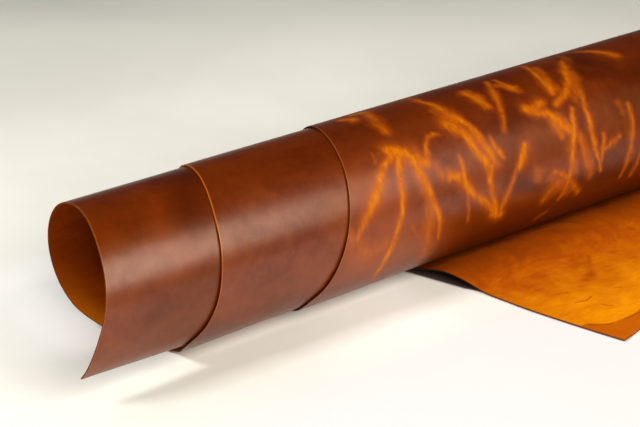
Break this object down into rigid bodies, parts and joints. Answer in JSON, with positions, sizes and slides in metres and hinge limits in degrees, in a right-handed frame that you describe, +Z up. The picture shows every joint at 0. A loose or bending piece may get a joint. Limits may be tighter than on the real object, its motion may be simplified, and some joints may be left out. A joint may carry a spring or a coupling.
{
  "type": "rolled leather hide",
  "caption": "Waxed leather hide wound into a hollow roll with stepped edges, its outer end lying loose on the surface beside it.",
  "frame": {"origin": "on the surface that the roll rests on, in the flat spot under the roll's axis and halfway along it", "axes": "+X along the roll from its open stepped end to its plain end, +Z up, and -Y towards the loose end"},
  "size_m": [0.815, 0.2836, 0.1402],
  "materials": {
    "leather": "waxed pull-up grain outside, brushed orange flesh side inside"
  },
  "bodies": {
    "root": {"hide": "leather"}
  },
  "joints": []
}
